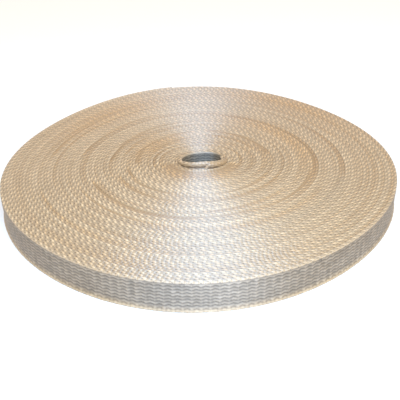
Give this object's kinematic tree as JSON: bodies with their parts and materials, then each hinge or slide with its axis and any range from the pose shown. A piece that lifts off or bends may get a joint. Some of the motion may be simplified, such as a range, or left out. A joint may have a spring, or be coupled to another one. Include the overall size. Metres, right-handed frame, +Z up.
{
  "type": "roll of cotton webbing",
  "caption": "Roll of plain woven cotton webbing lying flat, wound tightly round an open oval bore, with its innermost turns standing slightly proud.",
  "frame": {"origin": "middle of the roll's box, on the surface that it lies on", "axes": "+Z up through the bore, -Y towards the front, where the innermost turns stand proud, +X to the right"},
  "size_m": [0.3218, 0.323, 0.0298],
  "materials": {
    "cotton_webbing": "plain woven natural cotton, soft sheen on the yarns"
  },
  "bodies": {
    "root": {"webbing_roll": "cotton_webbing"}
  },
  "joints": []
}
